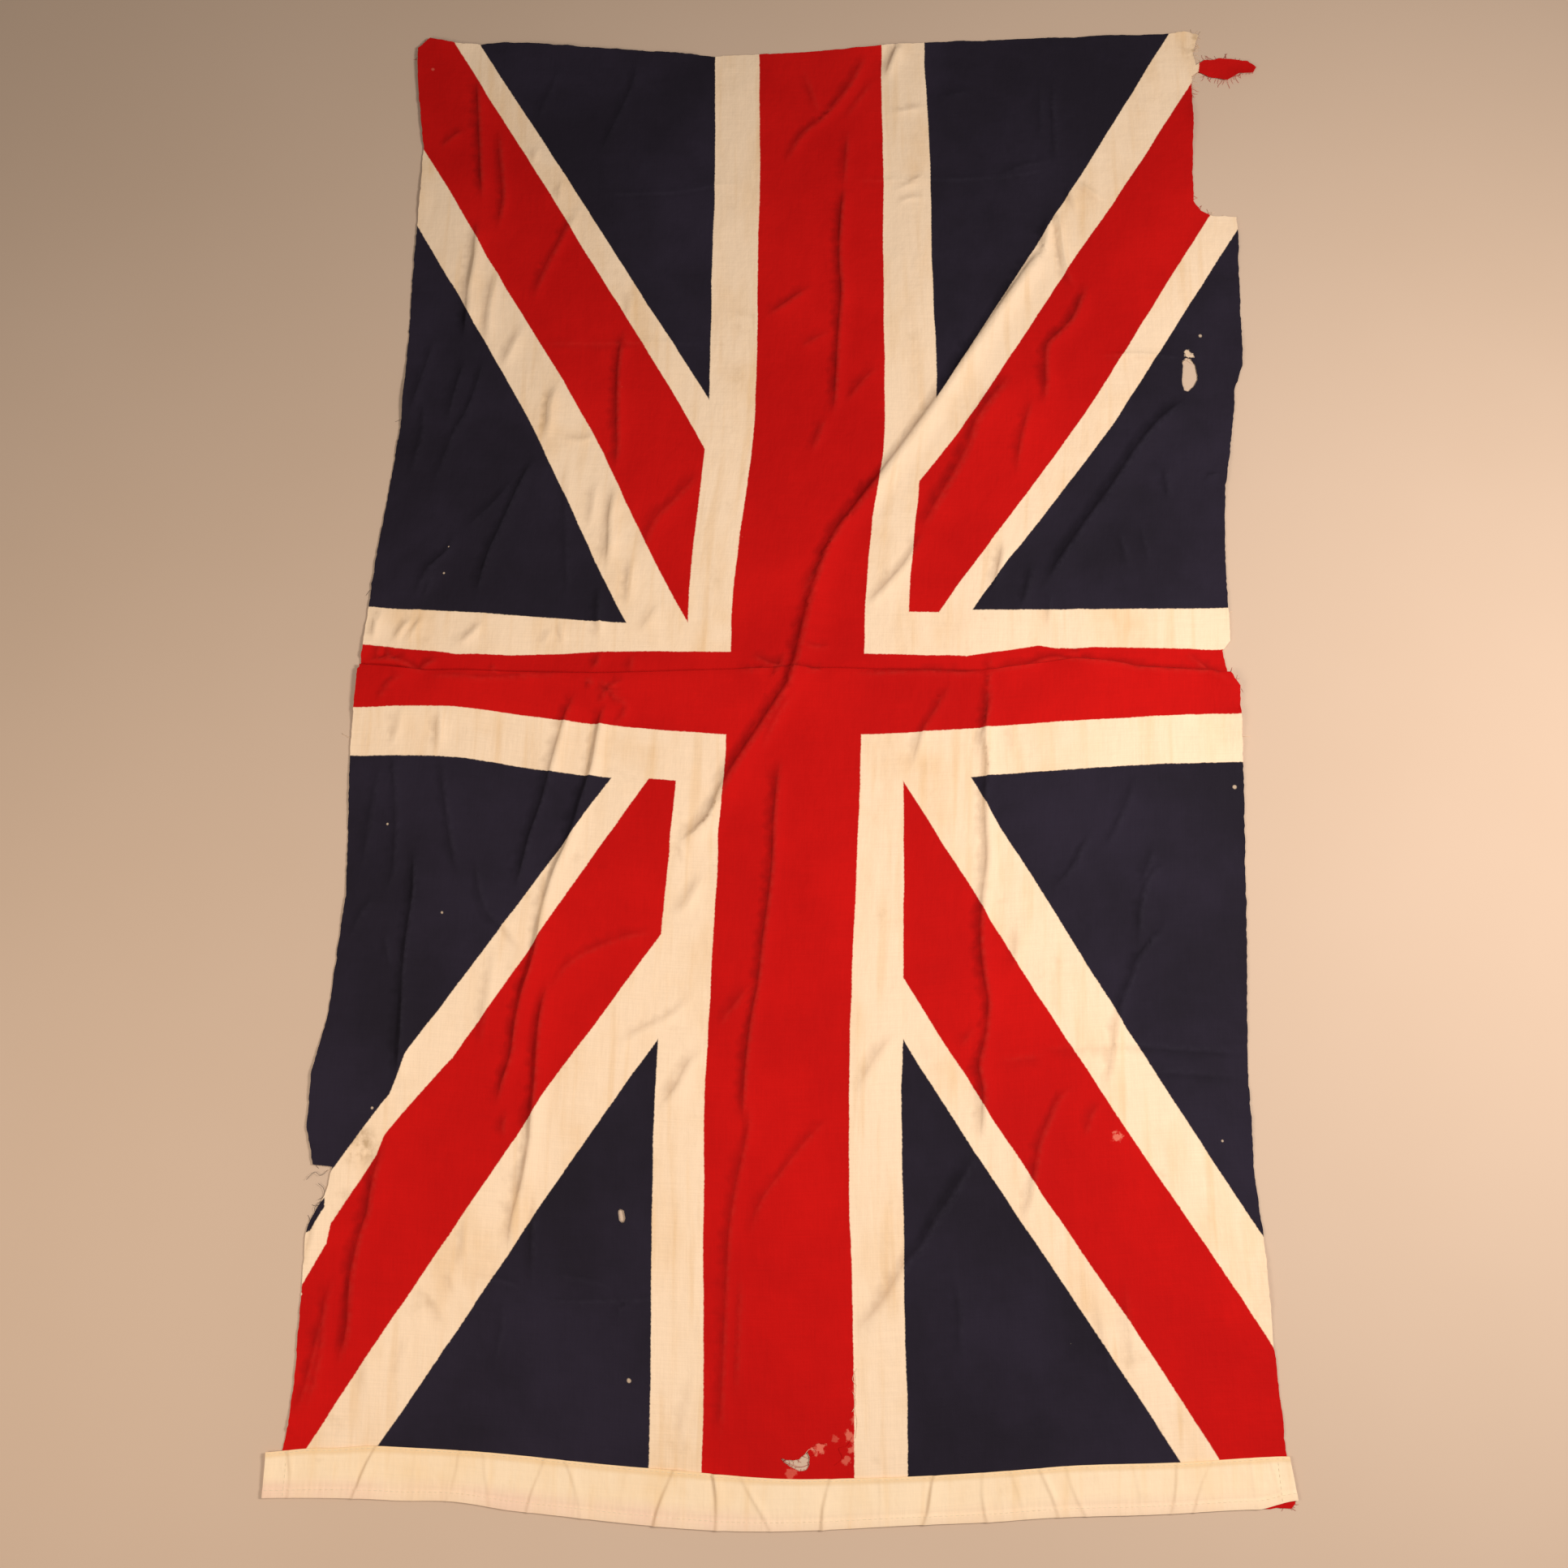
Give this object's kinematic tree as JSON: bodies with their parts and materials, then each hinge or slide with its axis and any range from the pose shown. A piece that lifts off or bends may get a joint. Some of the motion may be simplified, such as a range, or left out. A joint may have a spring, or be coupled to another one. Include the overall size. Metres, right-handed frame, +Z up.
{
  "type": "old printed cotton flag with a tape heading",
  "caption": "Old tattered printed cotton flag lying face up with a pleat across its middle, creased, frayed and torn, with a sewn tape heading along its hoist end.",
  "frame": {"origin": "under the middle of the whole flag, on the surface it lies on", "axes": "+Z up through the cloth, +Y from the hoist end to the fly end, +X across the cloth"},
  "size_m": [0.947, 1.5668, 0.01],
  "materials": {
    "cloth": "plain-weave cotton printed navy and red on cream, worn and stained",
    "heading": "yellowed cotton tape, puckered along its stitching"
  },
  "bodies": {
    "root": {"cloth": "cloth", "heading": "heading"}
  },
  "joints": []
}
